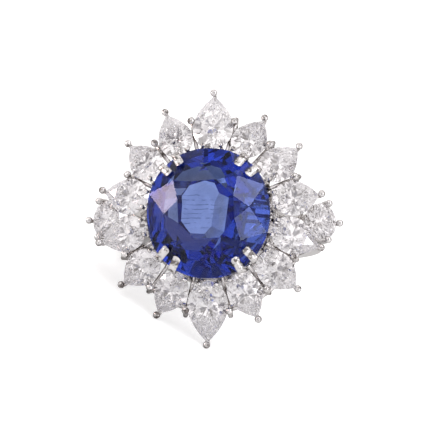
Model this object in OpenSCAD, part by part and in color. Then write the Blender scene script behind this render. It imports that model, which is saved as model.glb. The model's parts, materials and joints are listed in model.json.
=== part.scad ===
// Cluster ring: an oval sapphire in claws, fourteen pear cut diamonds round it that slope
// outward like petals, and a lower round diamond on each shoulder of a plain shank.
// The ring is described upright, with the finger hole along Y and the head towards +Z,
// and is laid on its side at the end, as it rests on a table.

/* [Finger hole and shank] */
// Radius of the finger hole
finger_r = 8.6; // [8:0.1:9.2]
// Thickness of the shank at the palm
shank_t = 1.2; // [1.1:0.1:1.8]
// How far the outer curve is set towards the head, which thickens the shoulders
shank_rise = 0.6; // [0.5:0.05:0.8]
// Width of the shank at the palm
shank_w = 2; // [1.8:0.1:3]
// Width of the shank where it meets the basket
shoulder_w = 3.2; // [3:0.1:4]
// Half angle of the gap in the shank under the centre stone
gap_half = 28; // [26:1:30]

/* [Centre stone] */
// Width of the sapphire, across the finger's sides
oval_w = 12.4; // [12:0.1:12.8]
// Length of the sapphire, along the finger
oval_l = 13.2; // [12.8:0.1:13.6]
// Roundness of the outline, where 2 is a true ellipse
oval_power = 2.12; // [2:0.02:2.3]
// Height of the sapphire's girdle above the middle of the finger hole
head_z = 14.6; // [14.4:0.1:15]
// Height of the crown
oval_crown = 2.2; // [1.9:0.1:2.4]
// Thickness of the girdle
oval_girdle = 0.36; // [0.34:0.02:0.5]
// Depth of the pavilion, down to its flat window
oval_depth = 4.7; // [4.5:0.05:4.8]
// Width of the table as a share of the stone
oval_table = 0.48; // [0.45:0.01:0.52]
// Turn of the crown's facets about the stone's own axis
oval_turn = 27.5; // [26:0.5:29]

/* [Halo stones] */
// Slope of the petals, down and outward
halo_slope = 22; // [20:1:24]
// Drop of the petals' inner ends below the sapphire's girdle
halo_drop = 0.85; // [0.8:0.05:1]
// Round end's length as a share of half the width
halo_back = 1.2; // [1.1:0.05:1.3]
// How straight the sides run to the point, as a share of their length
halo_side = 0.48; // [0.4:0.01:0.49]

/* [Shoulder stones] */
// Diameter of the round stone on each shoulder
shoulder_d = 3.7; // [3.5:0.1:3.8]
// Slope of the shoulder stones, down and outward
shoulder_slope = 38; // [36:1:40]
// Distance of the stone's middle from the middle of the ring
shoulder_r = 10.9; // [10.8:0.1:11.1]
// Height of the stone's girdle, at its middle, above the middle of the finger hole
shoulder_z = 10.2; // [10:0.1:10.4]

/* [Diamond cut] */
// Crown height as a share of the width
cut_crown = 0.15; // [0.14:0.01:0.17]
// Pavilion depth as a share of the width
cut_depth = 0.43; // [0.4:0.01:0.45]
// Thickness of the girdle
cut_girdle = 0.16; // [0.14:0.01:0.2]
// Table as a share of the stone
cut_table = 0.56; // [0.53:0.01:0.6]

/* [Claws and rails] */
// Air between a stone and its metal
seat_gap = 0.04; // [0.03:0.01:0.05]
// Radius of the base rail's wire
rail_wire = 0.65; // [0.55:0.05:0.65]
// Radius of the base rail
rail_r = 6; // [5.9:0.1:6.1]
// Height of the base rail above the middle of the finger hole
rail_z = 9.9; // [9.8:0.1:10]
// Radius of the outer rail's wire
outer_wire = 0.34; // [0.3:0.02:0.36]
// Radius of the outer rail
outer_r = 9.2; // [9.1:0.1:9.3]
// Height of the outer rail
outer_z = 10.6; // [10.5:0.05:10.65]
// Radius of a point claw's wire
tip_wire = 0.2; // [0.18:0.01:0.21]
// Radius of the bead on a point claw
tip_bead = 0.37; // [0.36:0.01:0.39]
// Radius of a shared claw's wire, between two petals
pair_wire = 0.24; // [0.22:0.01:0.26]
// Radius of the bead on a shared claw
pair_bead = 0.38; // [0.34:0.01:0.4]
// Radius of the wire that runs under each gap between two petals
gap_wire = 0.22; // [0.18:0.01:0.23]
// Radius of an inner claw's wire
inner_wire = 0.19; // [0.17:0.01:0.2]
// Radius of the bead on an inner claw
inner_bead = 0.24; // [0.22:0.01:0.25]
// Width of a talon claw on the sapphire
talon_w = 0.85; // [0.7:0.05:0.9]
// Half angle between the two talons of a pair
talon_half = 7.5; // [7:0.5:8]
// Reach of a talon inward from the sapphire's edge
talon_reach = 1.15; // [1:0.05:1.3]

/* [Rest] */
// Lean of the head's axis back from upright, once the ring lies on its side
rest_lean = 70.43; // [69.93:0.01:70.93]
// Roll of the ring onto two petals, seen from in front of the head
rest_roll = 31.6; // [31.1:0.01:32.1]
// Height of the middle of the finger hole over the table
rest_lift = 6.813; // [6.783:0.001:6.843]
// Place of the middle of the finger hole along X, which puts the ring over the origin
rest_x = -0.09; // [-0.19:0.01:0.01]
// Place of the middle of the finger hole along Y
rest_y = 3.75; // [3.65:0.01:3.85]

/* [Hidden] */
PETALS = 14;
$fn = 48;

// Petals in order from the right, counterclockwise seen from above the head
TURN = 0;
TIP_R = 1;
LENGTH = 2;
WIDTH = 3;
halo = [
    // turn, bead distance, length, width
    [-1.0, 11.4, 4.95, 3.6],
    [ 5.5, 11.4, 4.90, 3.5],
    [-4.9, 11.4, 4.85, 3.5],
    [ 1.9, 12.8, 6.30, 4.1],
    [-2.5, 11.8, 5.25, 3.5],
    [-7.8, 11.4, 4.90, 3.4],
    [-1.6, 11.4, 5.05, 3.7],
    [ 3.0, 11.6, 5.15, 3.6],
    [-0.8, 11.3, 4.75, 3.5],
    [-6.2, 11.3, 4.75, 3.4],
    [-1.5, 12.9, 6.35, 4.1],
    [ 1.8, 11.5, 4.95, 3.5],
    [-0.6, 11.5, 4.95, 3.7],
    [-7.4, 11.6, 5.25, 3.7]
];

// Slope of a diamond's crown at its edge, where a bead stands over it
crown_edge = 40;
// Beads over the points stand this far beyond the point and above the girdle's middle
tip_lean = 0.1;
bead_rise = bead_over(tip_bead, tip_lean);
// A point claw's wire ends inside its bead, this far under the bead's middle
bead_sink = 0.05;
// Drop of a point claw's bend below the girdle
claw_drop = 0.55;
// Height of the shared claws' beads, height of their bend and its way out beyond the bead
pair_z = 13.15;
pair_bend = 12.2;
pair_lean = 0.35;
// The wire under a gap bends here, out from the seat ring and up to the petals, and runs down
// and outward to a shared claw, which it meets at this share of the claw's way to its bend
gap_bend_r = 6.45;
gap_bend_z = 13.15;
gap_end = 0.85;
// Seat ring under the sapphire
seat_r = 6;
seat_z = 12.4;
seat_wire = 0.33;
// The sapphire's window is two flats: where they meet, the lean of the farther one, and the
// turn of both
window_line = 1.37;
window_lean = 10;
window_turn = 1.7;

// Main facets of the sapphire's pavilion, which is cut by hand and uneven: the direction that
// each looks in, its slope, and the slope of the step below it, 0 where it runs to the window
TOWARD = 0;
SLOPE = 1;
STEP = 2;
pavilion = [
    // toward, slope, step
    [ -6, 41.0, 28],
    [ 34, 45.5,  0],
    [ 78, 53.0,  0],
    [106, 55.0,  0],
    [140, 57.0,  0],
    [178, 55.0,  0],
    [217, 51.0,  0],
    [270, 49.0, 29],
    [319, 43.0, 27]
];
step_depth = 3.95;
// The halves under the girdle are this much steeper than the mains
half_more = 6;

// Claw pairs of the sapphire straddle these gaps between petals
talon_gaps = [2, 5, 9, 12];
// Gaps over the shoulder stones have no shared claw
bare_gaps = [0, 7];

function polar(r, a) = [r * cos(a), r * sin(a)];
function spin(p, a) = [p.x * cos(a) - p.y * sin(a), p.x * sin(a) + p.y * cos(a), p.z];
function tip_over(p, a) = [p.x * cos(a) + p.z * sin(a), p.y, p.z * cos(a) - p.x * sin(a)];
// Height of a bead's middle that leaves air over the crown, a lean beyond the edge
function bead_over(r, lean) =
    cut_girdle / 2 + (r + seat_gap - lean * sin(crown_edge)) / cos(crown_edge);
function has(list, value) = len([for (v = list) if (v == value) v]) > 0;

// Lays the upright ring on its side
module rested()
    translate([rest_x, rest_y, rest_lift])
        rotate([rest_lean, 0, 0])
            rotate([0, 0, rest_roll])
                children();

// Outline of the sapphire, at angle a
function oval_edge(a) =
    let (
        x = pow(abs(cos(a)) / (oval_w / 2), oval_power),
        y = pow(abs(sin(a)) / (oval_l / 2), oval_power)
    )
    polar(pow(x + y, -1 / oval_power), a);

// Outline of a pear: a half ellipse behind, and two sides that run together at the point
function pear_edge(a, wide, tip, back, side) =
    let (
        half = wide / 2,
        bend = side * tip,
        x = cos(a),
        y = abs(sin(a))
    )
    x < 0
        ? polar(1 / sqrt(pow(x / back, 2) + pow(y / half, 2)), a)
        : let (
            k = (tip - 2 * bend) * y + half * x,
            t = (sqrt(pow(bend * y, 2) + k * half * x) - bend * y) / k,
            across = half * (1 - t * t) * sign(sin(a)),
            along = 2 * bend * t + (tip - 2 * bend) * t * t
        )
        [along, across];

// Where two lines in the plane meet, each through a point with a direction
function meet(p, u, q, v) =
    let (k = ((q.x - p.x) * v.y - (q.y - p.y) * v.x) / (u.x * v.y - u.y * v.x))
    p + k * u;

// Height over the point p of the plane through three points
function plane_z(p, a, b, c) =
    let (n = cross(b - a, c - a))
    a.z - (n.x * (p.x - a.x) + n.y * (p.y - a.y)) / n.z;

function lift(p, z) = [p.x, p.y, z];

// Points round the girdle between a main facet and its half, on either side
cuts = 4;

// A cut stone. At each angle in mains it has a main facet above the girdle and one below, with
// halves between them along the girdle, and stars round the table. edge is the outline as a
// function of the angle, and the facets aim at middle. star and lower are how far the stars and
// the lower halves reach in. Where lower is 0, all under the girdle is left a block of this depth.
module cut_stone(edge, mains, middle, table, crown, girdle, star, lower, depth) {
    count = len(mains);
    per = 2 * cuts;
    total = count * per;
    up = girdle / 2;
    wrap = function(i) (i + count) % count;
    full = function(list, i) list[i % count] + (i >= count ? 360 : 0);
    aim = function(a) edge(a + 0.2) - edge(a - 0.2);
    inward = function(p, share) middle + (p - middle) * (1 - share);
    corners = [for (i = [0 : count - 1])
        let (a = full(mains, i), b = full(mains, i + 1))
        meet(edge(a), aim(a), edge(b), aim(b))];
    // Two halves meet on the girdle where a corner points
    mids = [for (i = [0 : count - 1])
        let (a = atan2(corners[i].y, corners[i].x)) a < mains[i] ? a + 360 : a];

    table_pts = [for (a = mains) lift(inward(edge(a), 1 - table), up + crown)];
    star_pts = [for (p = corners) lift(inward(p, star * (1 - table)), up + star * crown)];
    half_pts = [for (p = corners) lift(inward(p, lower), -up - lower * depth)];
    ring = [for (i = [0 : count - 1]) for (k = [0 : per - 1])
        let (
            from = k < cuts ? mains[i] : mids[i],
            to = k < cuts ? mids[i] : full(mains, i + 1)
        )
        edge(from + (to - from) * (k % cuts) / cuts)];
    // Each stretch of the girdle's edge lies in the plane of its half facet
    scallop = function(j, level, tip)
        let (
            start = floor(j / cuts) * cuts,
            a = lift(ring[start], level),
            b = lift(ring[(start + cuts) % total], level)
        )
        lift(ring[j], j % cuts == 0 ? level : plane_z(ring[j], tip, a, b));
    top_ring = [for (j = [0 : total - 1]) scallop(j, up, star_pts[floor(j / per)])];
    bottom_ring = [for (j = [0 : total - 1])
        lower > 0 ? scallop(j, -up, half_pts[floor(j / per)]) : lift(ring[j], -up - depth)];

    star_0 = count;
    top_0 = star_0 + count;
    bottom_0 = top_0 + total;
    half_0 = bottom_0 + total;
    culet = half_0 + count;
    top = function(j) top_0 + j % total;
    bottom = function(j) bottom_0 + j % total;

    upper_faces = [for (i = [0 : count - 1]) each [
        [i, wrap(i + 1), star_0 + i],
        [wrap(i + 1), star_0 + wrap(i + 1), top((i + 1) * per), star_0 + i],
        concat([star_0 + i], [for (k = [cuts : -1 : 0]) top(i * per + k)]),
        concat([star_0 + i], [for (k = [per : -1 : cuts]) top(i * per + k)])
    ]];
    girdle_faces = [for (j = [0 : total - 1]) [top(j), top(j + 1), bottom(j + 1), bottom(j)]];
    block_faces = [[for (j = [0 : total - 1]) bottom(j)]];
    lower_faces = [for (i = [0 : count - 1]) each [
        concat([half_0 + i], [for (k = [0 : cuts]) bottom(i * per + k)]),
        concat([half_0 + i], [for (k = [cuts : per]) bottom(i * per + k)]),
        [culet, half_0 + i, bottom((i + 1) * per), half_0 + wrap(i + 1)]
    ]];
    polyhedron(
        concat(table_pts, star_pts, top_ring, bottom_ring, half_pts,
            [lift(middle, -up - depth)]),
        concat(
            [[for (i = [count - 1 : -1 : 0]) i]],
            upper_faces, girdle_faces, lower > 0 ? lower_faces : block_faces
        )
    );
}

// How far the sapphire's outline reaches in a direction
function oval_reach(a) =
    max([for (t = [-30 : 30]) let (p = oval_edge(a + t)) p.x * cos(a) + p.y * sin(a)]);

// What the lap grinds off the sapphire: all that lies past a flat that looks outward and down,
// through a line at this distance from the axis and this depth under the girdle
module ground(toward, slope, distance, depth) {
    lap = 3 * oval_l;
    rotate([0, 0, toward])
        translate([distance, 0, -oval_girdle / 2 - depth])
            rotate([0, -slope, 0])
                translate([-lap / 2, -lap / 2, -lap]) cube(lap);
}

// Sapphire: a brilliant crown over a hand cut pavilion, ground flat at the bottom like a window
module sapphire_cut() {
    mains = [for (i = [0 : 7]) oval_turn + 45 * i];
    last = len(pavilion) - 1;
    rough = 2 * oval_depth;
    difference() {
        cut_stone(function(a) oval_edge(a), mains, [0, 0], oval_table, oval_crown,
            oval_girdle, 0.68, 0, rough);
        for (i = [0 : last]) {
            main = pavilion[i];
            next = i < last ? pavilion[i + 1] : pavilion[0] + [360, 0, 0];
            reach = oval_reach(main[TOWARD]);
            ground(main[TOWARD], main[SLOPE], reach, 0);
            if (main[STEP] > 0)
                ground(main[TOWARD], main[STEP], reach - step_depth / tan(main[SLOPE]),
                    step_depth);
            for (share = [0.25, 0.75]) {
                half = main + share * (next - main);
                ground(half[TOWARD], half[SLOPE] + half_more, oval_reach(half[TOWARD]), 0);
            }
        }
        ground(window_turn, 0, 0, oval_depth);
        ground(window_turn + 90, window_lean, window_line, oval_depth);
    }
}

// Diamond: a pear brilliant, its point towards +X, its widest place over the middle. Two halves
// meet in a ridge at the point, above and below.
module pear_cut(wide, tip, back) {
    mains = [22, 62, 106, 153, 207, 254, 298, 338];
    cut_stone(function(a) pear_edge(a, wide, tip, back, halo_side), mains, [0.08 * tip, 0],
        cut_table, cut_crown * wide, cut_girdle, 0.68, 0.75, cut_depth * wide);
}

// Diamond: a round brilliant
module round_cut(d) {
    mains = [for (i = [0 : 7]) 45 * i];
    cut_stone(function(a) polar(d / 2, a), mains, [0, 0], cut_table, cut_crown * d,
        cut_girdle, 0.68, 0.75, cut_depth * d);
}

function back(wide) = halo_back * wide / 2;
function azimuth(i) = (i + 0.5) * 360 / PETALS;

// A petal's place: distance of its middle from the ring's axis, and the height
function halo_tip(i) = halo[i][LENGTH] - back(halo[i][WIDTH]);
function halo_r(i) = halo[i][TIP_R] - (halo_tip(i) + tip_lean) * cos(halo_slope)
    - bead_rise * sin(halo_slope);
function halo_z(i) = head_z - halo_drop - back(halo[i][WIDTH]) * sin(halo_slope);

// A point given on a petal, with the petal's point towards +X
function on_halo(i, p) =
    spin([halo_r(i), 0, halo_z(i)] + tip_over(spin(p, halo[i][TURN]), halo_slope), azimuth(i));

module place_halo(i)
    rotate([0, 0, azimuth(i)])
        translate([halo_r(i), 0, halo_z(i)])
            rotate([0, halo_slope, 0])
                rotate([0, 0, halo[i][TURN]])
                    children();

function on_shoulder(p) = [shoulder_r, 0, shoulder_z] + tip_over(p, shoulder_slope);

module place_shoulder()
    translate([shoulder_r, 0, shoulder_z]) rotate([0, shoulder_slope, 0]) children();

// A straight wire between two points
module wire(a, b, r) {
    d = b - a;
    translate(a)
        rotate([0, acos(d.z / norm(d)), atan2(d.y, d.x)])
            cylinder(h = norm(d), r = r);
}

module ball(p, r) translate(p) sphere(r);

// A bent wire: its joint is a ball a little wider than the wire
module bent_wire(a, b, c, r) {
    wire(a, b, r);
    wire(b, c, r);
    ball(b, 1.05 * r);
}

// Shank: a domed band, thicker and wider towards the head, open under the centre stone
module shank() {
    dome = 3.4;
    outer = finger_r + shank_t + shank_rise;
    low = -finger_r - shank_t - 1;
    high = rail_z + rail_wire;
    deep = 30;
    difference() {
        intersection() {
            translate([0, 0, shank_rise])
                rotate([90, 0, 0])
                    rotate_extrude($fn = 96)
                        intersection() {
                            translate([outer - dome, 0]) circle(dome);
                            translate([outer - dome, -shoulder_w]) square([dome, 2 * shoulder_w]);
                        }
            rotate([90, 0, 90])
                linear_extrude(deep, center = true)
                    polygon([
                        [-shank_w / 2, low], [shank_w / 2, low],
                        [shoulder_w / 2, high], [-shoulder_w / 2, high]
                    ]);
        }
        rotate([90, 0, 0])
            linear_extrude(deep, center = true)
                polygon([[0, 0], [deep * sin(gap_half), deep * cos(gap_half)],
                    [-deep * sin(gap_half), deep * cos(gap_half)]]);
    }
}

// Two plain arms on each side, from the shank up to the base rail
module arms() {
    arm_wire = 0.6;
    foot_a = 45;
    foot_r = finger_r + shank_t + 0.5;
    spread = 14;
    for (side = [0, 180])
        for (y = [-1, 1])
            rotate([0, 0, side])
                wire([foot_r * sin(foot_a), y * 1.1, foot_r * cos(foot_a)],
                    lift(polar(rail_r, y * spread), rail_z), arm_wire);
}

module rails() {
    translate([0, 0, rail_z])
        rotate_extrude() translate([rail_r, 0]) circle(rail_wire);
    // The outer rail stops at the petals beside each shoulder stone
    for (side = [0, 180])
        rotate([0, 0, side])
            translate([0, 0, outer_z])
                rotate_extrude(angle = 180 - 360 / PETALS, start = 180 / PETALS)
                    translate([outer_r, 0]) circle(outer_wire);
    translate([0, 0, seat_z])
        rotate_extrude() translate([seat_r, 0]) circle(seat_wire);
}

// Claws that run under each petal to its point and end in a bead over it
module point_claws()
    for (i = [0 : PETALS - 1]) {
        out = halo_tip(i) + tip_wire + seat_gap;
        bent_wire(lift(polar(rail_r, azimuth(i)), rail_z), on_halo(i, [out, 0, -claw_drop]),
            on_halo(i, [out, 0, bead_rise - bead_sink]), tip_wire);
        ball(on_halo(i, [halo_tip(i) + tip_lean, 0, bead_rise]), tip_bead);
    }

// Claws shared by two petals, in the gap between them, and the wire under that gap
module pair_claws()
    for (i = [0 : PETALS - 1])
        if (!has(bare_gaps, i)) {
            a = i * 360 / PETALS;
            wide = max(halo[i][WIDTH], halo[(i + PETALS - 1) % PETALS][WIDTH]);
            r = wide > 4 ? outer_r + 0.7 : outer_r + 0.2;
            foot = lift(polar(outer_r, a), outer_z);
            bend = lift(polar(r + pair_lean, a), pair_bend);
            bead = lift(polar(r, a), pair_z);
            bent_wire(foot, bend, bead, pair_wire);
            ball(bead, pair_bead);
            bent_wire(lift(polar(seat_r, a), seat_z), lift(polar(gap_bend_r, a), gap_bend_z),
                foot + gap_end * (bend - foot), gap_wire);
        }

// Small claws at the round end of each petal, left out where a talon stands in their place
module inner_claws()
    for (i = [0 : PETALS - 1])
        for (side = [-1, 1])
            if (!has(talon_gaps, side > 0 ? (i + 1) % PETALS : i)) {
                y = 0.43 * halo[i][WIDTH] / 2;
                x = -back(halo[i][WIDTH]) * sqrt(1 - 0.43 * 0.43);
                top = on_halo(i, [x - inner_wire - 2 * seat_gap, side * (y + 0.1), cut_girdle]);
                foot = lift(polar(rail_r + 0.15, atan2(top.y, top.x)), rail_z);
                wire(foot, top, inner_wire);
                ball(on_halo(i, [x - 0.03, side * y, bead_over(inner_bead, 0.03)]), inner_bead);
            }

// One talon: it rises from the base rail, passes the girdle and bends over the crown, with a
// rounded back there. Its end is cut to a taper.
module talon(a) {
    edge = norm(oval_edge(a));
    girdle_top = head_z + oval_girdle / 2;
    girdle_mid = head_z;
    stem_half = 0.22;
    // The stem stays upright this far under the girdle, clear of the steep pavilion
    stem_clear = 0.15;
    // How far the bend stands out beyond the stone's edge, and how far the metal's top stands over
    // the girdle there
    bend_out = 0.42;
    bend_up = 0.48;
    // The end over the crown: where it is, its rise, its thickness, and its taper
    end_r = edge - talon_reach;
    end_up = 0.86 * talon_reach + 0.08;
    end_thick = 0.2;
    end_half = 0.17;
    // Radius of the rounded back, and how far it is set in from the flat of the blank
    back_r = 0.55;
    back_sink = 0.02;
    low_end = [end_r + 0.03, girdle_top + end_up + end_thick];
    low_back = [edge + 0.18, girdle_top + bend_up];
    slant = atan2(low_end.y - low_back.y, low_back.x - low_end.x);
    stem = [
        // along, up
        [rail_r - stem_half, rail_z],
        [rail_r - stem_half, seat_z],
        [edge + seat_gap, girdle_mid - oval_girdle / 2 - stem_clear],
        [edge + seat_gap, girdle_top + 0.06],
        [edge + bend_out, girdle_top + 0.05],
        [edge + bend_out - 0.09, girdle_top - 0.45],
        [rail_r + stem_half, seat_z + 0.95],
        [rail_r + stem_half, rail_z]
    ];
    tongue = [
        // along, up
        [edge + seat_gap, girdle_mid],
        [edge + seat_gap, girdle_top + 0.08],
        [end_r, girdle_top + end_up],
        low_end,
        low_back,
        [edge + bend_out, girdle_top + 0.05],
        [edge + bend_out - 0.06, girdle_mid]
    ];
    taper = [
        // along, across
        [end_r, -end_half],
        [end_r + bend_out, -talon_w],
        [edge + 2 * bend_out, -talon_w],
        [edge + 2 * bend_out, talon_w],
        [end_r + bend_out, talon_w],
        [end_r, end_half]
    ];
    rotate([0, 0, a]) {
        rotate([90, 0, 0]) linear_extrude(talon_w, center = true) polygon(stem);
        intersection() {
            rotate([90, 0, 0]) linear_extrude(talon_w, center = true) polygon(tongue);
            linear_extrude(2 * head_z) polygon(taper);
            translate([low_back.x, 0, low_back.y])
                rotate([0, slant - 90, 0])
                    translate([-back_r - back_sink, 0, -talon_reach])
                        cylinder(h = 3 * talon_reach, r = back_r);
        }
    }
}

module talons()
    for (i = talon_gaps)
        for (side = [-1, 1])
            talon(i * 360 / PETALS + side * talon_half);

// Five claws round each shoulder stone, standing on the shank
module shoulder_claws() {
    out = shoulder_d / 2 + tip_wire + seat_gap;
    foot = [8.3, 0, 6];
    for (side = [0, 180])
        rotate([0, 0, side])
            for (i = [-2 : 2]) {
                a = 72 * i;
                bent_wire(foot + [0.3 * cos(a), 0.9 * sin(a), 0],
                    on_shoulder(lift(polar(out, a), -claw_drop)),
                    on_shoulder(lift(polar(out, a), bead_rise - bead_sink)), tip_wire);
                ball(on_shoulder(lift(polar(shoulder_d / 2 + tip_lean, a), bead_rise)),
                    tip_bead);
            }
}

// All the soldered metal is one piece, with the finger hole cut through it last
module mount() {
    color("#cfcfd4")
        rested()
            difference() {
                union() {
                    shank();
                    arms();
                    rails();
                    point_claws();
                    pair_claws();
                    inner_claws();
                    talons();
                    shoulder_claws();
                }
                rotate([90, 0, 0]) cylinder(h = 40, r = finger_r, center = true, $fn = 128);
            }
}

module sapphire() {
    color("#27408b") rested() translate([0, 0, head_z]) sapphire_cut();
}

module halo_diamond(i) {
    color("#f2f4f8")
        rested()
            place_halo(i) pear_cut(halo[i][WIDTH], halo_tip(i), back(halo[i][WIDTH]));
}

module shoulder_diamond(side) {
    color("#f2f4f8")
        rested()
            rotate([0, 0, side])
                place_shoulder() round_cut(shoulder_d);
}

mount();
sapphire();
for (i = [0 : PETALS - 1])
    halo_diamond(i);
shoulder_diamond(0);  // shoulder_diamond_right
shoulder_diamond(180);  // shoulder_diamond_left
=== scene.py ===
import json
import math

import bpy
from mathutils import Matrix, Vector

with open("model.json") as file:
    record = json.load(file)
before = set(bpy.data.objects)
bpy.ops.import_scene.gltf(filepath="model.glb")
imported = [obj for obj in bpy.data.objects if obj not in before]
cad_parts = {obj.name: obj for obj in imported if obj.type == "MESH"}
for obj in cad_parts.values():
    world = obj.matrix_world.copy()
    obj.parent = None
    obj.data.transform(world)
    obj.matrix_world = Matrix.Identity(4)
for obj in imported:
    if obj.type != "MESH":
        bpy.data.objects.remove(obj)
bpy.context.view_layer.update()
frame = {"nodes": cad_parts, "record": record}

MM = 0.001
WHITE = (1.0, 1.0, 1.0, 1.0)

# The ring's own axes: the finger hole along Y, the head towards +Z. It lies on its side with its
# head leant back by LEAN and rolled by ROLL.
LEAN = math.radians(70.43)
ROLL = math.radians(31.6)
HOLE = Vector(frame["record"]["mounts"][0]["pos_m"])
REST = Matrix.Translation(HOLE) @ Matrix.Rotation(LEAN, 4, "X") @ Matrix.Rotation(ROLL, 4, "Z")
TO_RING = REST.inverted()

# Sapphire: height of its girdle over the middle of the hole, the slope of its crown's main
# facets and the middle of the left one
HEAD_Z = 14.6 * MM
CROWN_SLOPE = math.radians(34)
LEFT_FACET = (-4.3 * MM, 1.4 * MM, HEAD_Z + 1.4 * MM)

# Light runs back and forth many times inside a cut stone before it comes out
STONE_BOUNCES = 40

# View: the camera stands off the head's axis, far away, and is rolled a little
VIEW_RIGHT = math.radians(6.4)
VIEW_DOWN = math.radians(9.4)
VIEW_ROLL = math.radians(-1.7)
VIEW_AWAY = 420 * MM
FRAME_PX = 432
PX = 0.1 * MM
# Where the middle of the sapphire stands in the frame, from its left and top
HEAD_PX = Vector((208.4, 213.2))
# Width of the sensor, in millimetres as Blender counts it
SENSOR = 36
CLIP_START = 10 * MM

# The ring's materials are laid out in millimetres on its own axes. Only values that name MM are
# in metres. Tones are the stops of a colour ramp, and most of a noise lies in NOISE_SPAN.
NOISE_SPAN = (0.3, 0.7)

# White metal: the shank is smooth, and the claws of the head are bent by hand and worked with a
# file. On the head the tint carries painted reflections, dark and bright patches of a room. The
# shank's tint passes into the head's over these heights.
HEAD_SPAN = (9.5, 12.5)
SHANK_PATTERN = {"Scale": 0.5, "Detail": 3.0}
SHANK_TONES = ((0.3, (0.84, 0.83, 0.825, 1)), (0.7, (0.90, 0.89, 0.885, 1)))
# The head's tint: painted reflections, dark and bright patches of a room
PAINTED_REFLECTION_PATTERN = {"Scale": 1.7, "Detail": 3.0, "Roughness": 0.6}
PAINTED_REFLECTION_TONES = (
    (0.40, (0.22, 0.20, 0.19, 1)), (0.47, (0.78, 0.765, 0.755, 1)), (0.60, (1.0, 0.985, 0.98, 1)))
SCRATCH_PATTERN = {"Scale": 2.5, "Detail": 4.0, "Roughness": 0.6}
SCRATCH_ROUGHNESS = (0.07, 0.16)
# Painted shade, with grime, in the narrow places between claws, wires and rails
CREVICE_REACH = 0.45 * MM
CREVICE_SAMPLES = 8
CREVICE_SHADE_AND_GRIME_TONES = (
    (0.30, (0.16, 0.125, 0.10, 1)), (0.62, (0.66, 0.64, 0.63, 1)), (0.85, WHITE))
# Painted dark reflections where a round surface turns away from the eye
RIM_BLEND = 0.5
PAINTED_RIM_TONES = ((0.20, WHITE), (0.50, (0.78, 0.77, 0.76, 1)), (0.85, (0.40, 0.38, 0.37, 1)))
DENT_PATTERN = {"Scale": 2.6, "Detail": 3.0}
DENT_DEPTH = 0.09 * MM
# How strong the dents are on the shank and on the head
DENT_STRENGTH = (0.06, 1.0)

# Diamond
DIAMOND_IOR = 2.42
FEATHER_PATTERN = {"Scale": 0.7, "Detail": 4.0, "Roughness": 0.6}
FEATHER_TONES = ((0.3, (0.97, 0.95, 0.98, 1)), (0.7, WHITE))

# Sapphire: faint clouds, broken dark lines in the window and a paler middle. LINE_REACH and
# MIDDLE_REACH say how far from the window's middle those begin to fade and have ended.
SAPPHIRE_IOR = 1.77
# The colour that the stone's body leaves of light, and the little that its surface mirrors
BODY_COLOUR = (0.12, 0.32, 0.82, 1)
BODY_DENSITY = 250.0
GLINT_LEVEL = 0.2
GLINT_TINT = (0.27, 0.29, 0.38, 1)
CLOUD_PATTERN = {"Scale": 0.6, "Detail": 4.0, "Roughness": 0.6}
CLOUD_TONES = ((0.35, (0.52, 0.54, 0.57, 1)), (0.65, (0.74, 0.75, 0.78, 1)))
WINDOW = (-0.9, -0.2, HEAD_Z / MM)
LINE_PATTERN = {"Scale": 0.66, "Distortion": 3.4, "Detail": 3.0, "Detail Scale": 1.0}
# The waves are dark below LINE_SPAN, and a noise above BREAK_SPAN breaks them
LINE_SPAN = (0.02, 0.2)
LINE_DARKEST = 0.4
LINE_REACH = (2.5, 3.3)
BREAK_PATTERN = {"Scale": 1.1, "Detail": 3.0}
BREAK_SPAN = (0.41, 0.52)
MIDDLE_REACH = (3.7, 4.5)
MIDDLE_TONES = ((0.0, (0.98, 0.83, 0.60, 1)), (1.0, (1.04, 1.17, 1.28, 1)))
# How clear the stone is in its middle and outside it
CLEARNESS = (0.97, 0.99)

# Table: its half side, its finish, and how strongly it is lit to the camera
TABLE_REACH = 3000 * MM
TABLE_ROUGHNESS = 0.9
TABLE_SPECULAR = 0.1
TABLE_PATTERN = {"Scale": 3.0}
TABLE_TONES = ((0.3, (0.68, 0.682, 0.682, 1)), (0.7, (0.70, 0.702, 0.702, 1)))
TABLE_LIT = 0.56
# The window of the sapphire, and the step to its right, look at these places on the table beside
# the shank. It glows there, but not as the camera sees it: place, reach of the full glow and of
# any, and strength.
GLOW_SPOTS = (
    (Vector((-7.5 * MM, 30 * MM, 0)), (9 * MM, 15 * MM), 0.58),
    (Vector((-19 * MM, 11 * MM, 0)), (4 * MM, 8 * MM), 0.3))
# The step above the window looks under the head, where the table is given painted shade as the
# stones see it
DIM_SPOT = Vector((1 * MM, 8 * MM, 0))
DIM_REACH = (5 * MM, 9 * MM)
DIM_SHARE = 0.45
# A painted shadow of the head on the table behind it, as the camera sees it: how far from the line
# of sight through the head, how far from the head itself, and the share of light that is left
SHADE_WIDTH = (6 * MM, 11 * MM)
SHADE_REACH = (14 * MM, 30 * MM)
SHADE_SHARE = 0.45

# Room: what the ring mirrors, and the plain backdrop behind the table
ROOM_PATTERN = {"Scale": 3.2, "Detail": 4.0, "Roughness": 0.65}
ROOM_TONES = (
    (0.40, (0.10, 0.085, 0.08, 1)), (0.48, (0.80, 0.77, 0.77, 1)), (0.60, (1.50, 1.45, 1.45, 1)))
BACKDROP = (0.95, 0.95, 0.95, 1)
# Two dark sides: the cosines of the angles from their middle where they begin and are full, and
# their tone
CAMERA_SIDE = ((0.90, 0.985), (0.18, 0.17, 0.19, 1))
FAR_SIDE = ((0.80, 0.93), (0.19, 0.19, 0.40, 1))

# Directions in the world: up, and to the back of the head
UP = Vector((0, 0, 1))
BEHIND = Vector((0, 1, 0))


def turned(v):
    """A direction given on the ring's own axes, in the world."""
    return (REST.to_3x3() @ Vector(v)).normalized()


def placed(p):
    """A point given on the ring's own axes, in the world."""
    return REST @ Vector(p)


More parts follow.
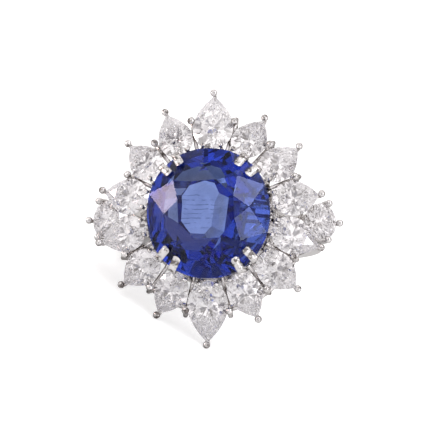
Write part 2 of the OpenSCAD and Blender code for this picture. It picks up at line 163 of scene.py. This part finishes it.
def view_direction():
    """The direction from the head to the camera, on the ring's own axes."""
    x = math.sin(VIEW_RIGHT)
    y = -math.sin(VIEW_DOWN)
    return Vector((x, y, math.sqrt(1 - x ** 2 - y ** 2)))


HEAD = placed((0, 0, HEAD_Z))
VIEW = view_direction()


# Camera

def camera_axes():
    """The camera's right, up and back, in the world."""
    up = (Vector((0, 1, 0)) - VIEW.y * VIEW).normalized()
    right = up.cross(VIEW)
    c, s = math.cos(VIEW_ROLL), math.sin(VIEW_ROLL)
    return turned(c * right - s * up), turned(s * right + c * up), turned(VIEW)


def add_camera():
    """The camera of the main view, with the sapphire at its place in the frame."""
    right, up, away = camera_axes()
    shift = (FRAME_PX / 2 - HEAD_PX.x) * PX * right - (FRAME_PX / 2 - HEAD_PX.y) * PX * up
    data = bpy.data.cameras.new("camera")
    data.sensor_width = SENSOR
    data.lens = SENSOR * VIEW_AWAY / (FRAME_PX * PX)
    data.clip_start = CLIP_START
    camera = bpy.data.objects.new("camera", data)
    turn = Matrix((right, up, away)).transposed()
    camera.matrix_world = Matrix.Translation(HEAD + shift + VIEW_AWAY * away) @ turn.to_4x4()
    bpy.context.scene.collection.objects.link(camera)
    bpy.context.scene.camera = camera


# Nodes

def new_material(name):
    """A material with an empty node tree but for its output."""
    material = bpy.data.materials.new(name)
    material.use_nodes = True
    material.node_tree.nodes.clear()
    output = material.node_tree.nodes.new("ShaderNodeOutputMaterial")
    return material, material.node_tree, output


def add(tree, kind, values=(), **settings):
    """A node with its settings, and its sockets set or linked by name or number."""
    node = tree.nodes.new(kind)
    for key, value in settings.items():
        setattr(node, key, value)
    for key, value in dict(values).items():
        if isinstance(value, bpy.types.NodeSocket):
            tree.links.new(value, node.inputs[key])
        else:
            node.inputs[key].default_value = value
    return node


def principled(tree, output, values):
    """The shader of a surface, with its sockets set or linked by name."""
    shader = add(tree, "ShaderNodeBsdfPrincipled", values)
    tree.links.new(shader.outputs["BSDF"], output.inputs["Surface"])


def noise(tree, place, pattern):
    """A noise at a place, with the pattern's scale, detail and roughness."""
    return add(tree, "ShaderNodeTexNoise", {"Vector": place, **pattern}).outputs["Fac"]


def spread(tree, value, span, to_low=0.0, to_high=1.0):
    """Maps a value from a span to a range, and holds it there."""
    low, high = span
    node = add(tree, "ShaderNodeMapRange", {
        "Value": value, "From Min": low, "From Max": high, "To Min": to_low, "To Max": to_high})
    return node.outputs["Result"]


def ramp(tree, value, tones):
    """A colour ramp through tones of (place, colour)."""
    node = add(tree, "ShaderNodeValToRGB", {"Fac": value})
    first, last = node.color_ramp.elements
    first.position, first.color = tones[0]
    last.position, last.color = tones[-1]
    for place, colour in tones[1:-1]:
        node.color_ramp.elements.new(place).color = colour
    return node.outputs["Color"]


def multiplied(tree, one, other):
    """The product of two colours."""
    return add(tree, "ShaderNodeMix", {"Factor": 1.0, 6: one, 7: other},
        data_type="RGBA", blend_type="MULTIPLY").outputs[2]


def mixed(tree, share, one, other):
    """A colour between two, by the share of the other."""
    return add(tree, "ShaderNodeMix", {"Factor": share, 6: one, 7: other},
        data_type="RGBA").outputs[2]


def mixed_value(tree, share, one, other):
    """A value between two, by the share of the other."""
    return add(tree, "ShaderNodeMix", {"Factor": share, 2: one, 3: other}).outputs[0]


def product(tree, one, other):
    """The product of two values."""
    return add(tree, "ShaderNodeMath", {0: one, 1: other}, operation="MULTIPLY").outputs[0]


def larger(tree, one, other):
    """The larger of two values."""
    return add(tree, "ShaderNodeMath", {0: one, 1: other}, operation="MAXIMUM").outputs[0]


def measured(tree, operation, *vectors):
    """A value of one or two vectors: a length, a distance or a dot product."""
    node = add(tree, "ShaderNodeVectorMath", enumerate(vectors), operation=operation)
    return node.outputs["Value"]


def combined(tree, operation, one, other):
    """A vector of two vectors."""
    node = add(tree, "ShaderNodeVectorMath", {0: one, 1: other}, operation=operation)
    return node.outputs["Vector"]


def ring_place(tree):
    """The place on the ring's own axes, in millimetres."""
    place = add(tree, "ShaderNodeTexCoord").outputs["Object"]
    node = add(tree, "ShaderNodeMapping", {
        "Vector": place, "Location": TO_RING.translation / MM,
        "Rotation": TO_RING.to_euler(), "Scale": (1 / MM, 1 / MM, 1 / MM)}, vector_type="POINT")
    return node.outputs["Vector"]


# White metal

def metal_tint_and_painted_reflections(tree, place, head):
    """Even and pale on the shank; on the head, painted reflections: dark and bright patches of a
    room.
    """
    smooth = ramp(tree, noise(tree, place, SHANK_PATTERN), SHANK_TONES)
    painted_reflections = ramp(tree, noise(tree, place, PAINTED_REFLECTION_PATTERN), PAINTED_REFLECTION_TONES)
    return mixed(tree, head, smooth, painted_reflections)


def crevice_shade_and_grime(tree):
    """Painted shade, with the grime that gathers there: dark brown in the narrow places between
    claws, wires and rails.
    """
    open_share = add(tree, "ShaderNodeAmbientOcclusion", {"Distance": CREVICE_REACH},
        samples=CREVICE_SAMPLES).outputs["AO"]
    return ramp(tree, open_share, CREVICE_SHADE_AND_GRIME_TONES)


def painted_dark_rims(tree):
    """Painted dark reflections: darker where a round surface turns away from the eye."""
    edge = add(tree, "ShaderNodeLayerWeight", {"Blend": RIM_BLEND}).outputs["Facing"]
    return ramp(tree, edge, PAINTED_RIM_TONES)


def dents(tree, place, head):
    """Shallow dents of hand work, faint on the shank."""
    node = add(tree, "ShaderNodeBump", {
        "Strength": spread(tree, head, (0.0, 1.0), *DENT_STRENGTH), "Distance": DENT_DEPTH,
        "Height": noise(tree, place, DENT_PATTERN)})
    return node.outputs["Normal"]


def white_metal():
    """Polished white metal with fine scratches of hand finishing. Its tint carries painted
    reflections on the head, painted shade with grime in narrow places, and painted dark
    reflections where round surfaces turn away.
    """
    material, tree, output = new_material("white_metal")
    place = ring_place(tree)
    height = add(tree, "ShaderNodeSeparateXYZ", {"Vector": place}).outputs["Z"]
    head = spread(tree, height, HEAD_SPAN)
    tint = metal_tint_and_painted_reflections(tree, place, head)
    for shade in (crevice_shade_and_grime(tree), painted_dark_rims(tree)):
        tint = multiplied(tree, tint, shade)
    scratches = noise(tree, place, SCRATCH_PATTERN)
    principled(tree, output, {
        "Base Color": tint, "Metallic": 1.0,
        "Roughness": spread(tree, scratches, NOISE_SPAN, *SCRATCH_ROUGHNESS),
        "Normal": dents(tree, place, head)})
    return material


# Stones

def diamond():
    """Clear stone of high refraction, with faint clouds and feathers inside."""
    material, tree, output = new_material("diamond")
    tint = ramp(tree, noise(tree, ring_place(tree), FEATHER_PATTERN), FEATHER_TONES)
    principled(tree, output, {
        "Base Color": tint, "Roughness": 0.0, "IOR": DIAMOND_IOR, "Transmission Weight": 1.0})
    return material


def window_lines(tree, place, near):
    """Fine dark lines, broken here and there, that show only in the window."""
    wave = add(tree, "ShaderNodeTexWave", {"Vector": place, **LINE_PATTERN},
        bands_direction="Y").outputs["Fac"]
    lines = spread(tree, wave, LINE_SPAN, LINE_DARKEST, 1.0)
    outside = spread(tree, near, LINE_REACH)
    breaks = spread(tree, noise(tree, place, BREAK_PATTERN), BREAK_SPAN)
    return larger(tree, larger(tree, lines, outside), breaks)


def blue_sapphire():
    """Blue stone: its colour deepens with the way that light takes through it."""
    material, tree, output = new_material("sapphire")
    place = ring_place(tree)
    near = measured(tree, "DISTANCE", place, WINDOW)
    tint = ramp(tree, noise(tree, place, CLOUD_PATTERN), CLOUD_TONES)
    middle = ramp(tree, spread(tree, near, MIDDLE_REACH), MIDDLE_TONES)
    for shade in (window_lines(tree, place, near), middle):
        tint = multiplied(tree, tint, shade)
    principled(tree, output, {
        "Base Color": tint, "Roughness": 0.0, "IOR": SAPPHIRE_IOR,
        "Transmission Weight": spread(tree, near, MIDDLE_REACH, *CLEARNESS),
        "Specular IOR Level": GLINT_LEVEL, "Specular Tint": GLINT_TINT})
    body = add(tree, "ShaderNodeVolumeAbsorption", {"Color": BODY_COLOUR, "Density": BODY_DENSITY})
    tree.links.new(body.outputs["Volume"], output.inputs["Volume"])
    return material


# Table

def glow_for_stones(tree, place):
    """The table's glow at the places where the sapphire looks."""
    glow = 0.0
    for spot, reach, strength in GLOW_SPOTS:
        away = measured(tree, "DISTANCE", place, spot)
        glow = larger(tree, glow, spread(tree, away, reach, strength, 0.0))
    return glow


def dim_for_stones(tree, place):
    """The share of light left on the table under the head, as the sapphire sees it."""
    away = measured(tree, "DISTANCE", place, DIM_SPOT)
    return spread(tree, away, DIM_REACH, DIM_SHARE, 1.0)


def head_shade(tree, place):
    """Painted shadow of the head: the share of light left on the table behind it."""
    from_head = combined(tree, "SUBTRACT", place, HEAD)
    off_axis = combined(tree, "CROSS_PRODUCT", from_head, turned(VIEW))
    aside = measured(tree, "LENGTH", off_axis)
    away = measured(tree, "LENGTH", from_head)
    return larger(tree, spread(tree, aside, SHADE_WIDTH, SHADE_SHARE, 1.0),
        spread(tree, away, SHADE_REACH, SHADE_SHARE, 1.0))


def table_top():
    """Pale matt table. The camera sees it lit, with the head's shade on it. The stones see it glow
    in two places and dim in a third."""
    material, tree, output = new_material("table")
    place = add(tree, "ShaderNodeTexCoord").outputs["Object"]
    seen = add(tree, "ShaderNodeLightPath").outputs["Is Camera Ray"]
    shade = head_shade(tree, place)
    lit = mixed_value(tree, seen, glow_for_stones(tree, place), product(tree, shade, TABLE_LIT))
    tint = multiplied(tree, ramp(tree, noise(tree, place, TABLE_PATTERN), TABLE_TONES),
        mixed_value(tree, seen, dim_for_stones(tree, place), shade))
    principled(tree, output, {
        "Base Color": tint, "Roughness": TABLE_ROUGHNESS, "Specular IOR Level": TABLE_SPECULAR,
        "Emission Color": WHITE, "Emission Strength": lit})
    return material


def add_floor():
    """The flat table under the ring."""
    square = ((-1, -1), (1, -1), (1, 1), (-1, 1))
    data = bpy.data.meshes.new("floor")
    data.from_pydata([(x * TABLE_REACH, y * TABLE_REACH, 0) for x, y in square], [], [range(4)])
    data.materials.append(table_top())
    floor = bpy.data.objects.new("floor", data)
    bpy.context.scene.collection.objects.link(floor)


def dress():
    """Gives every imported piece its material."""
    looks = {"white_metal": white_metal(), "diamond": diamond(), "sapphire": blue_sapphire()}
    for part in frame["record"]["subparts"]:
        data = frame["nodes"][part["node"]].data
        data.materials.clear()
        data.materials.append(looks[part["material_slot"]])


# Lights and room

def add_softbox(name, spot, toward, away, size, glow, colour=WHITE[:3], mirrored=True):
    """A square soft light that looks at a spot from a direction, as bright as its glow. It isn't
    seen through the stones, and is mirrored only where that is asked for."""
    data = bpy.data.lights.new(name, "AREA")
    data.shape = "SQUARE"
    data.size = size
    data.energy = glow * math.pi * size ** 2
    data.color = colour
    light = bpy.data.objects.new(name, data)
    place = spot + away * toward
    # A light low beside the ring stands on the table
    place.z = max(place.z, size / 2)
    light.matrix_world = (Matrix.Translation(place)
        @ toward.to_track_quat("Z", "Y").to_matrix().to_4x4())
    light.visible_glossy = mirrored
    light.visible_transmission = False
    bpy.context.scene.collection.objects.link(light)


def from_facet(azimuth):
    """Where a light stands that a main crown facet, at this azimuth, mirrors into the camera."""
    azimuth = math.radians(azimuth)
    normal = Vector((math.sin(CROWN_SLOPE) * math.cos(azimuth),
        math.sin(CROWN_SLOPE) * math.sin(azimuth), math.cos(CROWN_SLOPE)))
    return turned(2 * normal.dot(VIEW) * normal - VIEW)


def add_lights():
    """Three lights that facets of the sapphire's crown mirror, and a large one over the table."""
    add_softbox("left_light", placed(LEFT_FACET), from_facet(azimuth=166.5), away=60 * MM,
        size=14 * MM, glow=11.0, colour=(1.0, 0.75, 0.71))
    add_softbox("top_light", HEAD, from_facet(azimuth=22.9), away=500 * MM,
        size=80 * MM, glow=6.8, colour=(0.84, 0.86, 1.0))
    add_softbox("right_light", HEAD, from_facet(azimuth=346.5), away=450 * MM,
        size=80 * MM, glow=4.7, colour=(0.84, 0.89, 1.0))
    add_softbox("table_light", HEAD, UP, away=600 * MM, size=1200 * MM, glow=0.6, mirrored=False)


def darkened(tree, tone, direction, toward, side, share=1.0):
    """The tone of the room with a dark side toward a direction, at a share of its strength."""
    span, dark = side
    near = measured(tree, "DOT_PRODUCT", direction, toward)
    return mixed(tree, product(tree, spread(tree, near, span), share), tone, dark)


def add_world():
    """A pale room with dim and bright places, dark where the camera stands. Through the stones it
    is dark far behind the ring too."""
    world = bpy.data.worlds.new("room")
    bpy.context.scene.world = world
    world.use_nodes = True
    tree = world.node_tree
    tree.nodes.clear()
    direction = add(tree, "ShaderNodeTexCoord").outputs["Generated"]
    path = add(tree, "ShaderNodeLightPath")
    tone = ramp(tree, noise(tree, direction, ROOM_PATTERN), ROOM_TONES)
    tone = darkened(tree, tone, direction, turned(VIEW), CAMERA_SIDE)
    tone = darkened(tree, tone, direction, BEHIND, FAR_SIDE, path.outputs["Is Transmission Ray"])
    room = add(tree, "ShaderNodeBackground", {"Color": tone, "Strength": 1.0})
    plain = add(tree, "ShaderNodeBackground", {"Color": BACKDROP, "Strength": 1.0})
    both = add(tree, "ShaderNodeMixShader", {
        0: path.outputs["Is Camera Ray"], 1: room.outputs["Background"],
        2: plain.outputs["Background"]})
    output = add(tree, "ShaderNodeOutputWorld")
    tree.links.new(both.outputs["Shader"], output.inputs["Surface"])


def set_rendering():
    """Plain colours, and enough bounces for the cut stones."""
    scene = bpy.context.scene
    scene.view_settings.view_transform = "Standard"
    for kind in ("max_bounces", "glossy_bounces", "transmission_bounces"):
        setattr(scene.cycles, kind, STONE_BOUNCES)


add_camera()
dress()
add_floor()
add_lights()
add_world()
set_rendering()
